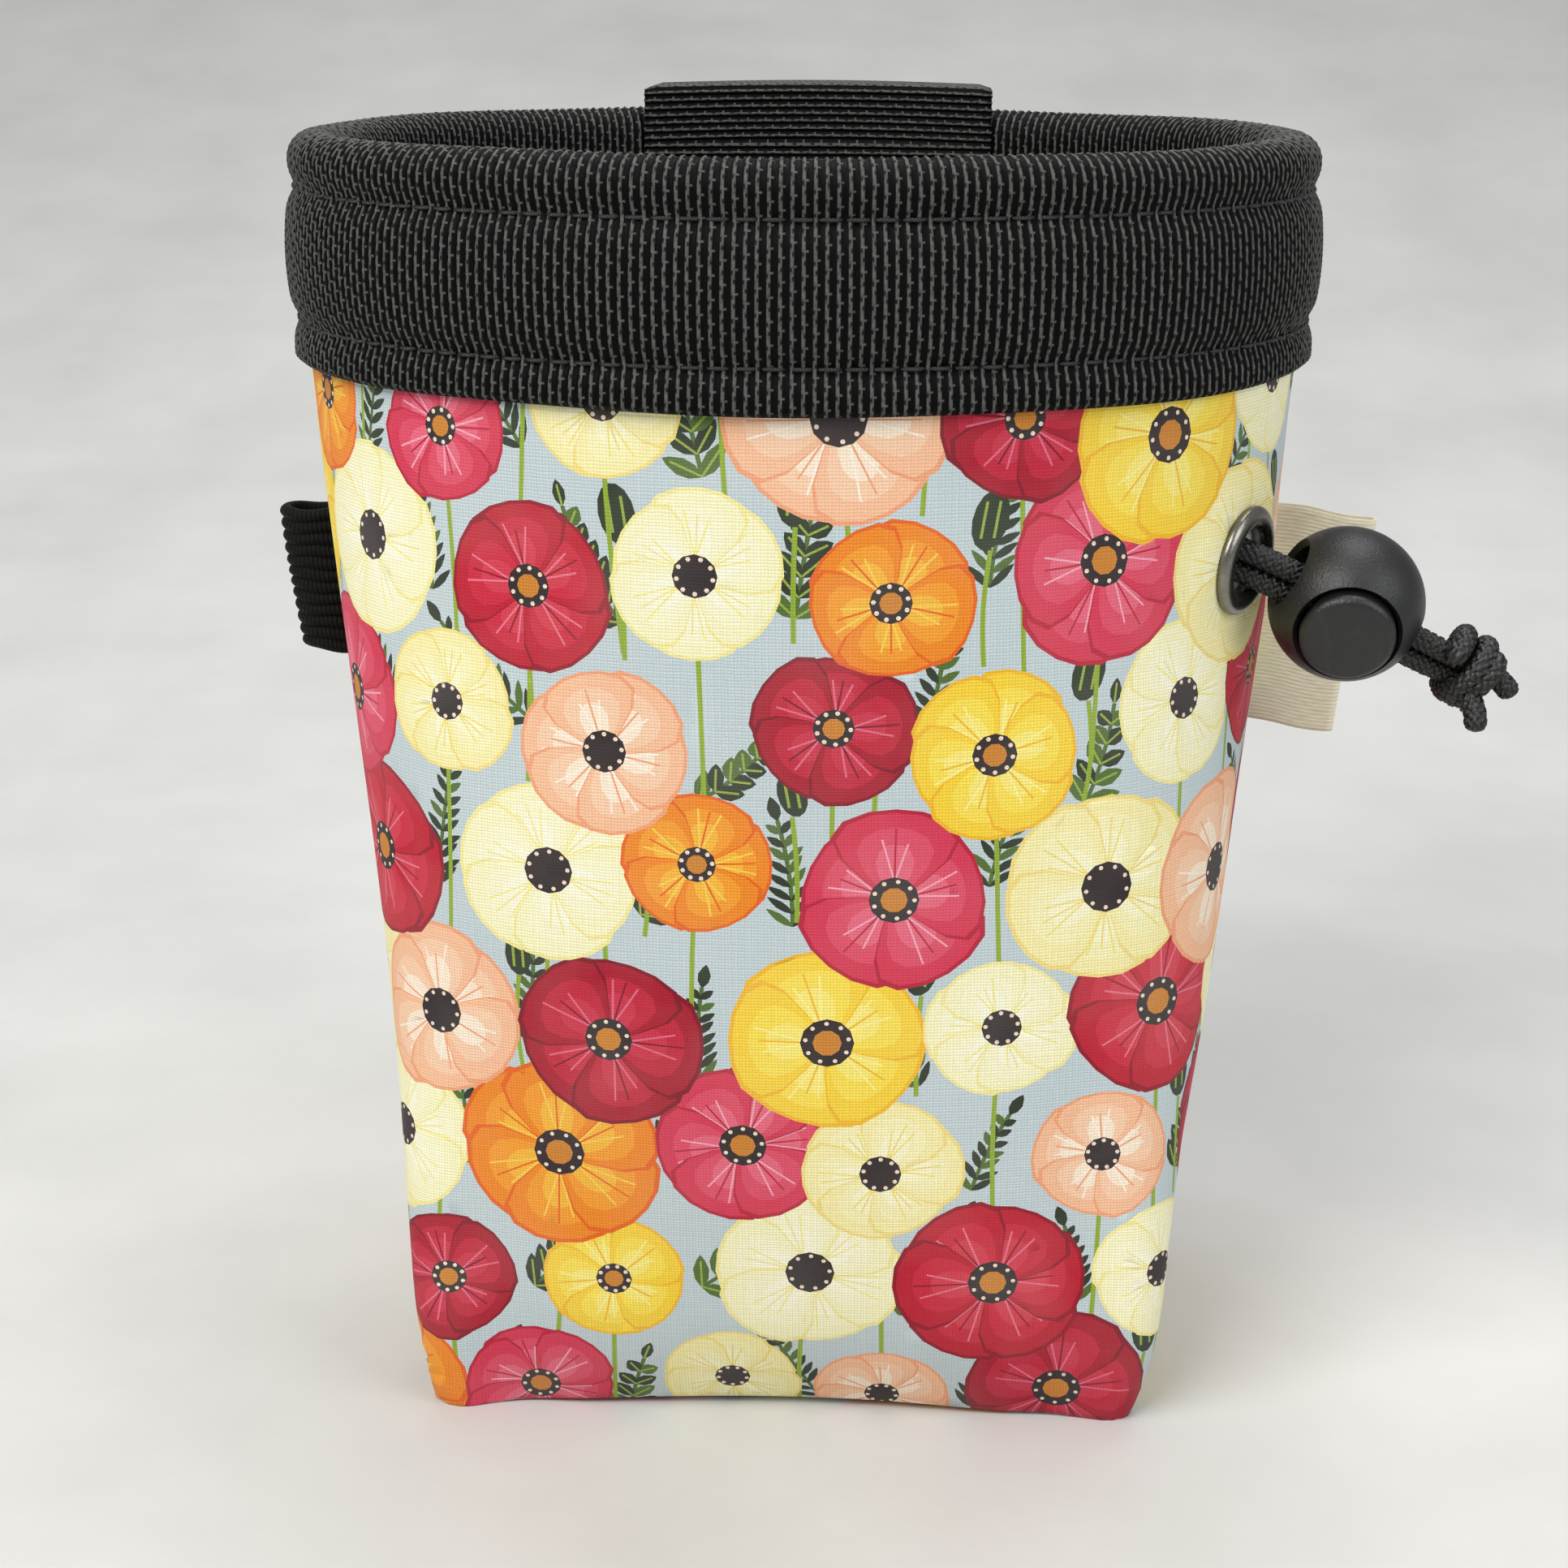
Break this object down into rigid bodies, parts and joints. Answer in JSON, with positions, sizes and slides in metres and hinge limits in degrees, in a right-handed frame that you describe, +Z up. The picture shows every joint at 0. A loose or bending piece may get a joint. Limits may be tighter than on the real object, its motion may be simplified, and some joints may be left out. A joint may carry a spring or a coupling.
{
  "type": "treat pouch",
  "caption": "Soft drawcord pouch with a stiffened webbing mouth, boxed base, belt loop, side loop, folded tag, eyelet and spring ball cord lock.",
  "frame": {"origin": "centre of the base, on the surface that the pouch stands on", "axes": "+Z up to the mouth, -Y the front, +Y the belt loop's side, +X the cord lock's side"},
  "size_m": [0.1589, 0.1261, 0.168],
  "materials": {
    "printed_cotton": "plain-woven printed cotton",
    "interlining": "white fusible fleece",
    "lining": "coated nylon",
    "webbing": "heavy ribbed nylon",
    "thread": "bonded nylon thread",
    "stiffener": "plain polypropylene strip",
    "elastic": "ribbed elastic",
    "cotton_tape": "unbleached cotton tape",
    "eyelet_metal": "nickel plate",
    "cord": "braided nylon",
    "lock_plastic": "fine-grained moulded plastic",
    "spring_steel": "plain wire"
  },
  "bodies": {
    "pouch": {"shell_front_panel": "printed_cotton", "shell_back_panel": "printed_cotton", "interlining_front": "interlining", "interlining_back": "interlining", "lining_front": "lining", "lining_back": "lining", "closure_collar": "lining", "drawcord_casing": "lining", "rim_webbing": "webbing", "rim_stiffener": "stiffener", "rim_stitch_upper": "thread", "rim_stitch_lower": "thread", "belt_loop_stitching": "thread", "belt_loop_webbing": "webbing", "elastic_loop": "elastic", "side_tag": "cotton_tape", "eyelet_flange": "eyelet_metal", "eyelet_washer": "eyelet_metal", "drawcord_loop": "cord", "drawcord_strand_upper": "cord", "drawcord_strand_lower": "cord", "drawcord_knot": "cord", "drawcord_end_upper": "cord", "drawcord_end_lower": "cord"},
    "cord_lock": {"lock_ball": "lock_plastic", "lock_spring": "spring_steel"},
    "button": {"lock_button": "lock_plastic"}
  },
  "joints": [
    {"name": "lock_slide", "type": "slide", "parent": "pouch", "child": "cord_lock", "axis": [0.8799, 0.07, -0.47], "range_m": [0, 0.0011]},
    {"name": "button_press", "type": "slide", "parent": "cord_lock", "child": "button", "axis": [0.0972, 0.9417, 0.3222], "range_m": [0, 0.0033], "stiffness_N_per_m": 1200, "springref_m": -0.0015, "deforming": ["lock_spring"]}
  ]
}
